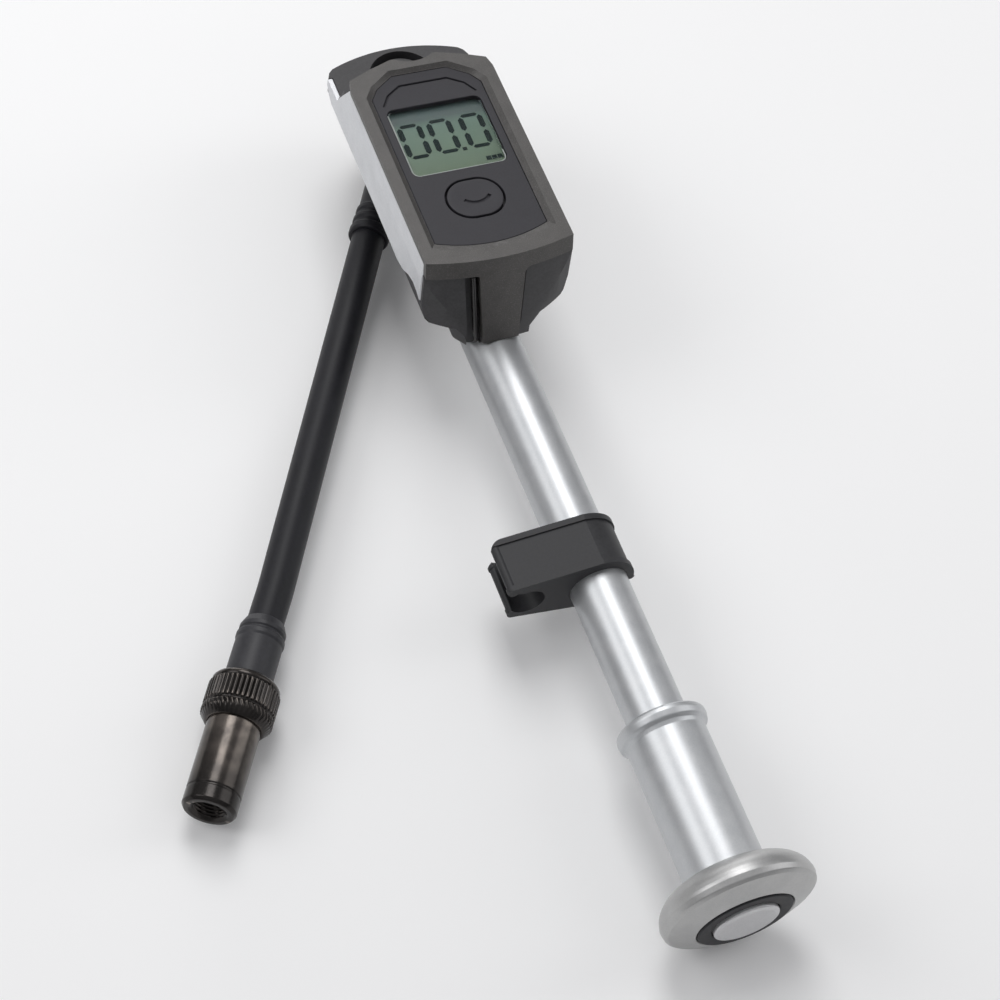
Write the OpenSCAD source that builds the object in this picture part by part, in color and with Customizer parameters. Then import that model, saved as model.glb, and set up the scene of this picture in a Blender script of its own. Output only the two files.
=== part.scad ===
// Compact digital shock pump, lying on its back with the gauge facing up.
// Origin: on the resting surface, on the axis of the hose swivel. The barrel runs along -Y to the
// handle, +X is the gauge's right side and +Z is the way the gauge faces.
// Positions along the barrel, written s, are distances from the swivel axis towards the handle.

/* [Barrel and handle] */
// Outside diameter of the barrel tube
tube_d = 14.4; // [13.8:0.1:14.6]
// Bore of the barrel tube
tube_bore = 11.6; // [11:0.1:12]
// Diameter of the piston rod
rod_d = 7; // [6:0.1:7.4]
// Outside diameter of the handle sleeve
sleeve_d = 19.2; // [18.6:0.1:20]
// Outside diameter of the bead at the sleeve's mouth
bead_d = 22; // [21:0.1:24]
// Diameter of the palm disc at the end of the handle
disc_d = 36.8; // [34:0.2:38]
// Travel of the piston from closed to fully drawn
stroke = 140; // [100:1:144]

/* [Gauge head] */
// Width of the gauge's front face
face_w = 38.4; // [38:0.1:38.6]
// Height of the gauge's front face over the resting surface
face_h = 50; // [49.8:0.1:50.4]
// Width of the display window
lcd_w = 25.2; // [22:0.1:26]
// Length of the display window
lcd_l = 22.5; // [20:0.1:23]

/* [Hose and chuck] */
// Outside diameter of the hose
hose_d = 8.8; // [8.4:0.1:9]
// Outside diameter of the knurled collar
collar_d = 17; // [16.6:0.1:17.6]
// Outside diameter of the chuck barrel
chuck_d = 12.7; // [12:0.1:13.2]
// Radius of the wall of the threaded valve socket
socket_r = 3.9; // [3.85:0.01:4]

/* [Hidden] */
$fn = 64;
slip = 0.05;             // radial running clearance of a guided fit
gap = 0.15;              // clearance between pieces that are only set into each other
axis_h = disc_d / 2;     // height of the barrel's axis: the palm disc rests on the surface
hose_h = collar_d / 2;   // height of the hose: the knurled collar rests on the surface
tube_r = tube_d / 2;
bore_r = tube_bore / 2;
rod_r = rod_d / 2;
face_r = face_w / 2;

// stations along the barrel
socket_s = 46;           // open end of the pump head's barrel socket, nearest the swivel
head_end = socket_s + 12;
tube_start = socket_s + 3.1;
tube_end = 218;
gland_end = 220.4;
mouth = 187.4;
sleeve_end = 227;
disc_rim = 233;
seat_s = 46;             // seat of the check valve
piston_top = 51;
piston_end = 61;
rod_start = 55.1;
gland_start = piston_end + stroke + 0.5;

// gauge head heights
lip_h = face_h - 4.5;      // lower edge of the front frame
shelf_h = 38.4;          // top of the shelf that holds the bleed button
side_h = 33.4;           // rear edge of the side trims
bay_h = 33.6;            // floor of the electronics bay
bay_deep_h = 31;         // floor along its middle
back_h = 14.4;           // flat back round the swivel
end_arc_r = 78;          // plan radius of the head's handle end
end_y = -72.4;           // handle end of the front face, on the centre line
end_lean = 15.8;         // lean of the handle end, degrees
low_arc_r = 36;          // plan radius of its lower part
screw_xy = [[13.2, -62.5], [-13.2, -62.5], [13.2, -15.5], [-13.2, -15.5]];
button_y = -52.2;
lcd_y = -31.2;
sensor_y = -38;          // pressure sensor, over the check valve's chamber
well_r = 8.8;            // recess round the bleed button
panel_h = 49;            // panel, and foot of the slope round it
panel_hw = 14.8;
panel_top_y = -8.8;
panel_arc_r = 38;        // plan radius of the panel's lower edge
panel_arc_y = panel_arc_r - 66.8;
trim_stop = 1.4;         // how far the side trims stay back from the handle end
clip_r = 9.4;            // outside radius of the clip's band
clip_rim = 1.5;          // width of the clip's raised rims

// hose arm
boot_angle = 31;         // swing of the boot from -Y towards -X
chuck_angle = 31.5;      // the same for the chuck
chuck_x = -76.5;
chuck_y = -132;
boot_end = 31.7;
hose_start = 29.15;
hose_sink = 2.83;        // how far the hose enters the ferrule
// route of the hose's centre line, in plan
hose_route = [
  [-15, -25], [-19, -32], [-23, -39], [-27, -46], [-31, -53], [-35, -60],
  [-39, -67], [-43, -74], [-47, -81], [-51, -88], [-55, -95], [-59, -102],
  [-63, -109], [-67, -116], [-71, -123], [-75, -129.5], [-78, -134.4]
];

// chuck stations, from the ferrule's mouth towards the valve socket
ferrule_end = 16.4;
collar_start = 16.5;
collar_end = 28.4;
chuck_top = 18.6;
chuck_end = 50.2;
socket_l = 9;
socket_floor = chuck_end - socket_l;

clip_y0 = -149;
clip_y1 = -134.8;

// ---------------------------------------------------------------- helpers

// Children drawn along +Z are laid along the barrel: z becomes s.
module on_barrel() {
  translate([0, 0, axis_h]) rotate([90, 0, 0]) children();
}

// The same for the boot, from the swivel axis outwards.
module on_boot() {
  translate([0, 0, hose_h]) rotate([0, 0, -boot_angle]) rotate([90, 0, 0]) children();
}

// The same for the chuck, from the ferrule's mouth to the valve socket.
module on_chuck() {
  translate([chuck_x, chuck_y, hose_h]) rotate([0, 0, -chuck_angle]) rotate([90, 0, 0]) children();
}

// A tube or rod between two stations.
module rod_between(s0, s1, r) {
  translate([0, 0, s0]) cylinder(h = s1 - s0, r = r);
}

// A ring between two stations.
module ring_between(s0, s1, r, hole_r) {
  difference() {
    rod_between(s0, s1, r);
    rod_between(s0 - 1, s1 + 1, hole_r);
  }
}

// An O-ring centred on station s.
module o_ring(s, r, wire_r) {
  translate([0, 0, s]) rotate_extrude() translate([r, 0]) circle(r = wire_r, $fn = 24);
}

// A 2D shape in X and Z, drawn from y0 to y1.
module along_y(y0, y1) {
  translate([0, y1, 0]) rotate([90, 0, 0]) linear_extrude(height = y1 - y0) children();
}

// A 2D shape in Y and Z, drawn from x0 to x1.
module along_x(x0, x1) {
  translate([x0, 0, 0]) rotate([90, 0, 90]) linear_extrude(height = x1 - x0) children();
}

// A 2D shape in plan, drawn from z0 to z1.
module along_z(z0, z1) {
  translate([0, 0, z0]) linear_extrude(height = z1 - z0) children();
}

// Rectangle with rounded corners, centred on [0, y].
module rounded_window(w, l, y, r) {
  translate([-w / 2 + r, y - l / 2]) square([w - 2 * r, l]);
  translate([-w / 2, y - l / 2 + r]) square([w, l - 2 * r]);
  for (sx = [-1, 1], sy = [-1, 1]) {
    translate([sx * (w / 2 - r), y + sy * (l / 2 - r)]) circle(r = r);
  }
}

// Oval with flat sides, for the power button.
module oval(r, half_flat, y) {
  translate([-half_flat, y - r]) square([2 * half_flat, 2 * r]);
  for (sx = [-1, 1]) {
    translate([sx * half_flat, y]) circle(r = r);
  }
}

// Both halves of an outline that is given for x > 0.
function both_sides(pts) = concat(
  pts, [for (i = [len(pts) - 1:-1:0]) [-pts[i][0], pts[i][1]]]
);

// Points of an arc round [cx, cy].
function arc(cx, cy, r, a0, a1, n) = [
  for (i = [0:n]) [cx + r * cos(a0 + (a1 - a0) * i / n), cy + r * sin(a0 + (a1 - a0) * i / n)]
];

// Compression spring along +Z, from z0 to z1, as one swept tube.
module spring(z0, z1, r, wire_r, turns) {
  sides = 6;
  steps = 12 * turns;
  rings = [
    for (i = [0:steps])
      for (k = [0:sides - 1])
        let (a = 360 * turns * i / steps, b = 360 * k / sides)
          [(r + wire_r * cos(b)) * cos(a), (r + wire_r * cos(b)) * sin(a),
           z0 + wire_r + (z1 - z0 - 2 * wire_r) * i / steps + wire_r * sin(b)]
  ];
  skin = [
    for (i = [0:steps - 1])
      for (k = [0:sides - 1])
        [i * sides + k, i * sides + (k + 1) % sides, (i + 1) * sides + (k + 1) % sides,
         (i + 1) * sides + k]
  ];
  caps = [
    [for (k = [sides - 1:-1:0]) k],
    [for (k = [0:sides - 1]) steps * sides + k]
  ];
  polyhedron(rings, concat(skin, caps), convexity = 10);
}

// ---------------------------------------------------------------- head outlines

// The leaning, slightly bowed face at the handle end. inset moves it into the head.
module end_limit(inset) {
  translate([0, end_y, face_h]) rotate([-end_lean, 0, 0]) translate([0, end_arc_r, 0])
    cylinder(h = 160, r = end_arc_r - inset, center = true, $fn = 128);
}

// The lower part of that end narrows towards the barrel.
module lower_end_limit(inset) {
  intersection() {
    end_limit(inset);
    union() {
      translate([0, -78.2, 31]) rotate([-4.4, 0, 0]) translate([0, low_arc_r, 0])
        cylinder(h = 160, r = low_arc_r - inset, center = true, $fn = 128);
      translate([-50, -55, 0]) cube(100);
    }
  }
}

module shell_plan() {
  half_w = face_r + 0.2;
  polygon(both_sides(concat(
    [[half_w, -90], [half_w, 3.5], [18.6, 5.3]],
    arc(0, -34.5, 44.5, 67, 90, 12)
  )));
}

// Section of the shell; waist is the narrowest part of its keel, round the barrel.
module shell_section(waist) {
  polygon(both_sides([
    [face_r + 0.2, face_h], [face_r + 0.2, 36], [18.5, 31.6], [17.6, 30.6],
    [waist + 2.8, 29.4], [waist, 26], [waist, axis_h]
  ]));
  translate([0, axis_h]) circle(r = waist);
}

module shell_side() {
  polygon([
    [-90, lip_h], [-7.8, lip_h], [-4.2, shelf_h], [12, shelf_h], [12, back_h],
    [-37, back_h], [-44, 8.4], [-59.5, 8.4], [-79.8, 26], [-90, 26]
  ]);
}

// Side view of the silver trims. grow widens it for the pocket in the shell.
module trim_side(grow) {
  polygon([
    [-80, 48.5 + grow], [-80, 35.4 - grow], [-72.8, 35.4 - grow], [-68, 37.2 - grow],
    [-65.2, 37.6 - grow], [-62, 36.6 - grow], [-58.5, 34.4 - grow], [-54.5, side_h - grow],
    [-1, side_h - grow], [1.6, 34.6 - grow], [3.4, 36.6 - grow], [3.4 + grow, shelf_h + grow],
    [-4.2, shelf_h + grow], [-10.8 + grow, 48.5 + grow]
  ]);
}

module bezel_plan(half_w) {
  difference() {
    polygon(both_sides([
      [half_w, -90], [half_w, -12], [half_w - 0.8, -8.8], [12.4, -6.3], [6.2, -4.3]
    ]));
    translate([0, 3.5]) circle(r = 9.4);
  }
}

// Opening of the front frame. inset shrinks it for the panel.
module panel_plan(inset) {
  difference() {
    polygon(both_sides([
      [panel_hw - inset, -67 + inset], [panel_hw - inset, -15.7], [12.6 - inset, -12.5],
      [7.4, panel_top_y - inset]
    ]));
    difference() {
      translate([-20, -70]) square([40, 10]);
      translate([0, panel_arc_y + inset]) circle(r = panel_arc_r, $fn = 96);
    }
  }
}

// The inner side of a sloping wall that faces angle and starts reach from the origin.
module inside_slope(angle, reach, slope) {
  rotate([0, 0, angle]) along_y(-100, 100) polygon([
    [-100, panel_h], [reach, panel_h], [reach + 2 * slope, panel_h + 2], [-100, panel_h + 2]
  ]);
}

// The same wall on the left and on the right.
module inside_slopes(angle, reach, slope) {
  intersection() {
    inside_slope(angle, reach, slope);
    inside_slope(180 - angle, reach, slope);
  }
}

// Space inside the sloping sides of the opening, from the panel up to the face.
module opening_bevel() {
  ledge = 0.1;
  intersection() {
    inside_slopes(0, panel_hw + ledge, 1.3);
    inside_slopes(34.5, 3.3 + ledge, 1.2);
    inside_slopes(54.6, -2.88 + ledge, 1);
    inside_slope(90, panel_top_y + ledge, 0.9);
    translate([0, panel_arc_y, panel_h])
      cylinder(h = 2, r1 = panel_arc_r + ledge, r2 = panel_arc_r + 4.8, $fn = 96);
  }
}

// ---------------------------------------------------------------- gauge head

module rear_shell() {
  color([0.16, 0.16, 0.18]) difference() {
    intersection() {
      along_z(8, face_h) shell_plan();
      union() {
        along_y(-90, 12) shell_section(8.4);
        along_y(-head_end - 0.8, 12) shell_section(9.4);
        translate([0, 0, back_h]) cylinder(h = 16, r = 10);
      }
      along_x(-20, 20) shell_side();
      lower_end_limit(0.6);
    }
    // pockets of the side trims
    intersection() {
      for (sx = [-1, 1]) {
        translate([sx * (face_r + 9), 0, 0]) along_x(-10, 10) trim_side(0.1);
      }
      lower_end_limit(trim_stop);
    }
    // channel beside the tongue, for the rib
    intersection() {
      along_y(-90, -60) polygon([
        [-9.6, lip_h - 0.4], [-6.3, lip_h - 0.4], [-4.8, 20], [-8.1, 20]
      ]);
      difference() {
        end_limit(-1);
        lower_end_limit(2.6);
      }
    }
    // electronics bay, which leaves four screw bosses
    difference() {
      union() {
        translate([-16.6, -68.6, bay_h]) cube([33.2, 57.6, 20]);
        translate([-9.5, -66, bay_deep_h]) cube([19, 55, 20]);
      }
      for (p = screw_xy) {
        translate([p[0], p[1], bay_h - 1]) cylinder(h = 5.4, r = 3);
      }
    }
    for (p = screw_xy) {
      translate([p[0], p[1], 20]) cylinder(h = 12.4, r = 2.4);
      translate([p[0], p[1], 20]) cylinder(h = 30, r = 1.1);
    }
    // socket of the barrel and pocket of the pump head
    on_barrel() {
      rod_between(socket_s, 90, tube_r + slip);
      rod_between(socket_s - gap, head_end + gap, 8.2 + gap);
    }
    translate([-8 - gap, -socket_s - 1, 16 - gap]) cube([16 + 2 * gap, socket_s - 4, 13 + 2 * gap]);
    translate([0, sensor_y, 25]) cylinder(h = 10, r = 4 + gap);
    translate([0, 0, 16 - gap]) cylinder(h = 13 + 2 * gap, r = 8.2 + gap);
    // swivel bolt below, bleed button above
    translate([0, 0, 10]) cylinder(h = 10, r = 4.1);
    translate([0, 0, 33]) cylinder(h = 10, r = well_r);
    translate([0, 0, 20]) cylinder(h = 20, r = 1.6);
    // slot for the front frame's tongue
    intersection() {
      along_y(-90, -60) tongue_outline(0.5);
      difference() {
        end_limit(-1);
        end_limit(2.9);
      }
    }
  }
}

// Rounded rib in the channel beside the tongue.
module end_rib() {
  from = [-7.25, -72.3, lip_h - 1];
  to = [-6.05, -77.4, 25.3];
  d = to - from;
  color([0.06, 0.06, 0.06]) intersection() {
    translate(from) rotate([0, acos(d[2] / norm(d)), atan2(d[1], d[0])]) cylinder(h = norm(d), r = 0.75);
    along_x(-20, 20) shell_side();
  }
}

// Outline of the tongue that runs down the handle end. grow widens it for the slot.
module tongue_outline(grow) {
  half_w = 6.1;
  polygon(both_sides([[half_w + grow, lip_h + 1], [4.6 + grow, 24]]));
  // fillets where it leaves the band
  for (fillet = [[1, 1.8], [-1, 0.9]]) {
    side = fillet[0];
    r = fillet[1];
    centre_x = half_w + r - 0.25;
    difference() {
      translate([side * (centre_x - 1 - r / 2), lip_h - r / 2 + 0.5]) square([2 + r, r + 1], center = true);
      translate([side * centre_x, lip_h - r]) circle(r = r - grow);
    }
  }
}

module bezel() {
  color([0.36, 0.36, 0.37]) difference() {
    intersection() {
      union() {
        along_z(48.6, face_h) bezel_plan(face_r);
        along_z(lip_h, 48.7) bezel_plan(face_r - 1.1);
        // full width where it closes the handle end
        difference() {
          along_z(lip_h, 48.7) bezel_plan(face_r);
          end_limit(trim_stop);
        }
        // tongue down to the barrel
        intersection() {
          along_y(-90, -60) tongue_outline(0);
          along_x(-10, 10) polygon([[-90, 60], [-60, 60], [-60, 9.5], [-79.8, 26.2], [-90, 26.2]]);
          difference() {
            end_limit(0);
            end_limit(2.6);
          }
        }
        for (p = screw_xy) {
          translate([p[0], p[1], 38.2]) cylinder(h = 8, r = 2.4);
        }
      }
      end_limit(0);
    }
    along_z(lip_h - 1, panel_h + 0.05) panel_plan(0);
    opening_bevel();
    for (p = screw_xy) {
      translate([p[0], p[1], 36]) cylinder(h = 9.5, r = 0.95);
    }
    on_barrel() rod_between(50, 90, tube_r + slip);
  }
}

// Silver side plate, with a facet along its front edge.
module side_trim() {
  intersection() {
    along_x(15, 20) trim_side(0);
    along_y(-90, 12) polygon([
      [face_r - 0.9, 30], [face_r + 0.5, 30], [face_r + 0.5, 43.6], [face_r, 48.5], [face_r - 0.9, 48.5]
    ]);
    lower_end_limit(trim_stop + gap);
  }
}

module left_trim() {
  color([0.78, 0.79, 0.8]) mirror([1, 0, 0]) side_trim();
}

module right_trim() {
  color([0.78, 0.79, 0.8]) side_trim();
}

module face_panel() {
  color([0.26, 0.26, 0.29]) difference() {
    along_z(47.3, panel_h) panel_plan(gap);
    along_z(47, 50) rounded_window(lcd_w, lcd_l, lcd_y, 2);
    along_z(47, 50) oval(6.3, 1.35, button_y);
    // decorative groove over the display
    along_z(48.4, 50) difference() {
      polygon(both_sides([[12.7, -18.5], [10.4, -14.9], [6.5, -12.3]]));
      polygon(both_sides([[12.2, -18.6], [10, -15.25], [6.3, -12.8]]));
      translate([-20, -30]) square([40, 11.6]);
    }
  }
}

module lcd_window() {
  color([0.75, 0.82, 0.78, 0.4]) along_z(47.35, 48.3) rounded_window(lcd_w - 0.2, lcd_l - 0.2, lcd_y, 1.9);
}

module lcd_panel() {
  color([0.45, 0.52, 0.42]) translate([-14, lcd_y - 13.5, 44.9]) cube([28, 27, 2.1]);
}

module circuit_board() {
  color([0.1, 0.35, 0.2]) translate([-14.4, -58.4, 42.5]) cube([28.8, 38.4, 1.6]);
}

module battery() {
  color([0.75, 0.75, 0.76]) translate([0, -38, 38.7]) cylinder(h = 3.2, r = 10);
}

module battery_clip() {
  color([0.8, 0.78, 0.7]) difference() {
    translate([-12, -47, 38]) cube([24, 14, 4.4]);
    translate([0, -38, 38.5]) cylinder(h = 5, r = 10 + gap);
    translate([0, -38, 37]) cylinder(h = 5, r = 7);
  }
}

module button_switch() {
  color([0.2, 0.2, 0.2]) {
    translate([-3, button_y - 3, 44.1]) cube([6, 6, 0.9]);
    translate([0, button_y, 45]) cylinder(h = 0.6, r = 1.6);
  }
}

module power_button() {
  color([0.24, 0.24, 0.27]) {
    along_z(47, 49.1) oval(6.05, 1.35, button_y);
    along_z(46.3, 47.05) oval(6.8, 1.35, button_y);
  }
}

module pressure_sensor() {
  color([0.7, 0.7, 0.72]) {
    translate([0, sensor_y, 29.05]) cylinder(h = 4.5, r = 4);
    translate([0, sensor_y, 33.5]) cylinder(h = 1.6, r = 2.6);
  }
}

module case_screws() {
  color([0.55, 0.55, 0.56]) for (p = screw_xy) {
    translate([p[0], p[1], 30.7]) cylinder(h = 1.65, r = 2.1);
    translate([p[0], p[1], 32.3]) cylinder(h = 11.5, r = 0.9);
  }
}

// ---------------------------------------------------------------- pumping parts

module pump_head() {
  color([0.6, 0.61, 0.63]) difference() {
    union() {
      on_barrel() rod_between(socket_s, head_end, 8.2);
      translate([-8, -socket_s - 1, 16]) cube([16, socket_s - 4, 13]);
      translate([0, 0, 16]) cylinder(h = 13, r = 8.2);
    }
    on_barrel() {
      rod_between(tube_start - 1.1, head_end + 1, tube_r + 0.02);
      rod_between(seat_s - 1, tube_start, 1.5);
      rod_between(30, seat_s, 3);
      rod_between(0, 31, 1.1);
    }
    translate([0, 0, 15]) cylinder(h = 7.1, r = 3.05);
    translate([0, 0, 22]) cylinder(h = 8, r = 1.6);
    translate([0, sensor_y, axis_h]) cylinder(h = 14, r = 0.8);
  }
}

module check_ball() {
  color([0.7, 0.7, 0.72]) on_barrel() translate([0, 0, seat_s - 1.93]) sphere(r = 2.4);
}

module check_spring() {
  color([0.75, 0.75, 0.76]) on_barrel() spring(30.1, 41.6, 2.2, 0.3, 5);
}

module barrel_o_ring() {
  color([0.08, 0.08, 0.08]) on_barrel() o_ring(tube_start - 0.55, 6.5, 0.5);
}

module barrel_tube() {
  color([0.8, 0.81, 0.82]) on_barrel() ring_between(tube_start, tube_end, tube_r, bore_r);
}

module barrel_gland() {
  color([0.15, 0.15, 0.15]) on_barrel() difference() {
    union() {
      rod_between(gland_start, tube_end + 0.5, bore_r - 0.02);
      rod_between(tube_end + 0.02, gland_end, tube_r);
    }
    rod_between(gland_start - 1, gland_end + 1, rod_r + slip);
    rod_between(tube_end - 4, tube_end - 2.8, rod_r + 1.15);
  }
}

module rod_seal() {
  color([0.08, 0.08, 0.08]) on_barrel() o_ring(tube_end - 3.4, rod_r + 0.58, 0.52);
}

module swivel_bolt() {
  color([0.3, 0.3, 0.31]) difference() {
    union() {
      cylinder(h = 2.6, r = 6.5);
      cylinder(h = 15.8, r = 4);
      cylinder(h = 21.9, r = 3);
    }
    // spanner holes and air way
    for (sx = [-1, 1]) {
      translate([sx * 4.4, 0, -1]) cylinder(h = 2.4, r = 0.8);
    }
    translate([0, 0, hose_h]) cylinder(h = 20, r = 1.1);
    translate([0, 0, hose_h]) rotate([0, 90, 0]) cylinder(h = 20, r = 1.1, center = true);
  }
}

module bleed_button() {
  color([0.12, 0.12, 0.13]) difference() {
    union() {
      translate([0, 0, 34.6]) cylinder(h = 3, r = 7.3);
      translate([0, 0, 24]) cylinder(h = 12, r = 1.5);
    }
    difference() {
      translate([0, 0, 34]) cylinder(h = 2.3, r = 4.4);
      translate([0, 0, 30]) cylinder(h = 8, r = 1.5);
    }
  }
}

module bleed_spring() {
  color([0.75, 0.75, 0.76]) spring(33.02, 36.25, 3, 0.3, 3);
}

// ---------------------------------------------------------------- handle

module handle_sleeve() {
  bead_r = bead_d / 2;
  color([0.8, 0.81, 0.82]) on_barrel() rotate_extrude() polygon(concat(
    [[tube_r + 0.3, sleeve_end], [tube_r + 0.3, mouth], [bead_r - 1.5, mouth]],
    arc(bead_r - 1.7, mouth + 1.7, 1.7, -80, 80, 10),
    [[sleeve_d / 2, mouth + 3.8], [sleeve_d / 2, sleeve_end]]
  ));
}

module handle_cap() {
  rise = disc_rim - sleeve_end;
  rim_r = disc_d / 2;
  neck_r = 9.7;
  dome = [for (t = [0:9:90]) [neck_r + (rim_r - neck_r) * sin(t), disc_rim - rise * cos(t)]];
  color([0.8, 0.81, 0.82]) on_barrel() difference() {
    rotate_extrude() polygon(concat(
      [[0, 222.5], [tube_r + 0.25, 222.5], [tube_r + 0.25, sleeve_end]],
      dome,
      [[rim_r - 0.1, disc_rim + 1.2], [rim_r - 1, disc_rim + 2.3], [11.6, 237.6], [0, 237.6]]
    ));
    rod_between(220, 230, rod_r + 0.02);
    rod_between(225, 240, 1.7);
    rod_between(231.8, 240, 3.5);
    rod_between(234.5, 240, 11.5);
  }
}

module handle_ring() {
  color([0.08, 0.08, 0.08]) on_barrel() ring_between(234.55, 237.9, 11.4, 8);
}

module handle_plug() {
  color([0.82, 0.82, 0.82]) on_barrel() rod_between(234.55, 238.8, 7.8);
}

module rod_screw() {
  color([0.5, 0.5, 0.5]) on_barrel() {
    rod_between(231.85, 234.3, 3.2);
    rod_between(220, 232, 1.5);
  }
}

module piston_rod() {
  color([0.78, 0.79, 0.8]) on_barrel() difference() {
    rod_between(rod_start, 229.9, rod_r);
    rod_between(219, 235, 1.55);
  }
}

module piston() {
  color([0.15, 0.15, 0.16]) on_barrel() difference() {
    rod_between(piston_top, piston_end, bore_r - 0.08);
    rod_between(rod_start - 0.1, piston_end + 1, rod_r + 0.02);
    ring_between(piston_top + 1.4, piston_top + 2.8, 7, 4.5);
  }
}

module piston_o_ring() {
  color([0.08, 0.08, 0.08]) on_barrel() o_ring(piston_top + 2.1, bore_r - 0.64, 0.6);
}

// ---------------------------------------------------------------- hose arm

module swivel_ring() {
  color([0.2, 0.2, 0.2]) difference() {
    union() {
      translate([0, 0, 3]) cylinder(h = 11, r = 7.6);
      on_boot() rod_between(4, 20, 3.5);
    }
    cylinder(h = 20, r = 4 + slip);
    for (z = [5, 12]) {
      translate([0, 0, z - 0.65]) cylinder(h = 1.3, r = 5.25);
    }
    on_boot() rod_between(3, 30, 1.2);
  }
}

module swivel_o_rings() {
  color([0.08, 0.08, 0.08]) {
    o_ring(5, 4.63, 0.58);
    o_ring(12, 4.63, 0.58);
  }
}

module hose_boot() {
  color([0.1, 0.1, 0.1]) difference() {
    on_boot() difference() {
      rotate_extrude() polygon([
        [0, 4], [4.9, 4], [4.7, 14], [4.7, 22.6], [5.1, 23], [5.1, 24.2], [4.8, 24.6],
        [4.8, 25.8], [5.25, 26.2], [5.25, 27.4], [4.9, 27.8], [4.9, 29], [5.45, 29.6],
        [5.45, 31.2], [5.1, boot_end], [0, boot_end]
      ]);
      rod_between(3, 20 + gap, 3.5 + gap);
      rod_between(3, 40, 1.2);
      rod_between(hose_start, 40, hose_d / 2);
    }
    cylinder(h = 30, r = 7.75);
  }
}

// The hose: one tube of 12 sides swept along the route.
module hose() {
  sides = 12;
  n = len(hose_route);
  r = hose_d / 2;
  function dir(i) = let (
    a = hose_route[max(i - 1, 0)],
    b = hose_route[min(i + 1, n - 1)],
    d = b - a
  ) d / norm(d);
  rings = [
    for (i = [0:n - 1])
      for (k = [0:sides - 1])
        let (d = dir(i), u = r * cos(360 * k / sides), v = r * sin(360 * k / sides))
          [hose_route[i][0] - d[1] * u, hose_route[i][1] + d[0] * u, hose_h + v]
  ];
  skin = [
    for (i = [0:n - 2])
      for (k = [0:sides - 1])
        [i * sides + k, (i + 1) * sides + k, (i + 1) * sides + (k + 1) % sides,
         i * sides + (k + 1) % sides]
  ];
  caps = [
    [for (k = [0:sides - 1]) k],
    [for (k = [sides - 1:-1:0]) (n - 1) * sides + k]
  ];
  color([0.08, 0.08, 0.09]) polyhedron(rings, concat(skin, caps), convexity = 4);
}

module hose_ferrule() {
  color([0.13, 0.13, 0.14]) on_chuck() difference() {
    rotate_extrude() polygon([
      [0, 0], [4.6, 0], [5.3, 1.4], [5.6, 2.2], [5.6, 3], [5.3, 3.3], [5.3, 3.7], [5.85, 4.1],
      [5.85, 5.4], [5.6, 5.9], [5.7, 7], [5.7, ferrule_end], [0, ferrule_end]
    ]);
    rod_between(-1, hose_sink, hose_d / 2);
    rod_between(-1, 20, 1.2);
    rod_between(6, 20, 3 + gap);
  }
}

module chuck_stem() {
  color([0.45, 0.44, 0.42]) on_chuck() difference() {
    union() {
      rod_between(6.2, ferrule_end + 0.2, 3);
      rod_between(ferrule_end + 0.15, 18.1, 5.3);
      rod_between(18, 38.4, 4.5);
    }
    rod_between(5, 40, 1.2);
  }
}

module chuck_pin() {
  color([0.7, 0.65, 0.5]) on_chuck() {
    rod_between(26, 39.2, 0.9);
    rod_between(38.6, 39.2, 1.8);
  }
}

module knurled_collar() {
  r = collar_d / 2;
  color([0.2, 0.18, 0.17]) on_chuck() rotate_extrude() polygon([
    [5.6, collar_start], [6.8, collar_start], [8, collar_start + 0.9], [8, collar_start + 2],
    [r, collar_start + 2.2], [r, collar_start + 7.8], [r - 0.4, collar_start + 8],
    [r - 0.4, collar_start + 8.4], [r, collar_start + 8.6], [r, collar_start + 10],
    [6.9, collar_end], [chuck_d / 2 + slip, collar_end], [chuck_d / 2 + slip, 18.3], [5.6, 18.3]
  ]);
}

module chuck_barrel() {
  color([0.22, 0.2, 0.19]) on_chuck() difference() {
    rotate_extrude() polygon([
      [0, chuck_top], [chuck_d / 2, chuck_top], [chuck_d / 2, 45.6], [chuck_d / 2 - 0.2, 45.8],
      [chuck_d / 2 - 0.2, 46.1], [chuck_d / 2, 46.3], [chuck_d / 2, chuck_end - 0.8],
      [chuck_d / 2 - 0.8, chuck_end], [0, chuck_end]
    ]);
    rod_between(10, 38.9, 4.5 + slip);
    rod_between(38.8, socket_floor, 4.9);
    rod_between(38, chuck_end + 1, socket_r);
  }
}

module chuck_seal() {
  color([0.08, 0.08, 0.08]) on_chuck() ring_between(39.3, socket_floor - 0.05, 4.85, 2.2);
}

// ---------------------------------------------------------------- clip

// Section of the clip: a C that grips the barrel, and two jaws for the hose.
module clip_section(inset) {
  open_from = 2;
  open_to = -72;
  tip_r = 1;
  tip_at = tube_r + slip + tip_r;
  difference() {
    union() {
      translate([-0.4, axis_h + 0.6]) circle(r = clip_r - inset);
      polygon([
        [0, 28.5 - inset], [-22.5, 26.2 - inset], [-22.4, 24.4], [-16, 22], [-16, 16.5], [-21.4, 16.8],
        [-21.2, 13.6 + inset], [-5.5, 11 + inset], [0, 13]
      ]);
      translate([-22.4, 24.8]) circle(r = 1.4 - inset / 2);
      translate([-21.2, 15.2]) circle(r = 1.6 - inset / 2);
    }
    translate([0, axis_h]) {
      circle(r = tube_r + slip);
      polygon([
        [0, 0], [30 * cos(open_from), 30 * sin(open_from)], [30, -30],
        [30 * cos(open_to), 30 * sin(open_to)]
      ]);
    }
    translate([-18.2, axis_h + 0.8]) circle(r = 4.35);
    translate([-30, 16.85]) square([12, 6.6]);
  }
  // rounded tips of the C
  for (a = [open_from, open_to]) {
    translate([tip_at * cos(a), axis_h + tip_at * sin(a)]) circle(r = tip_r);
  }
}

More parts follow.
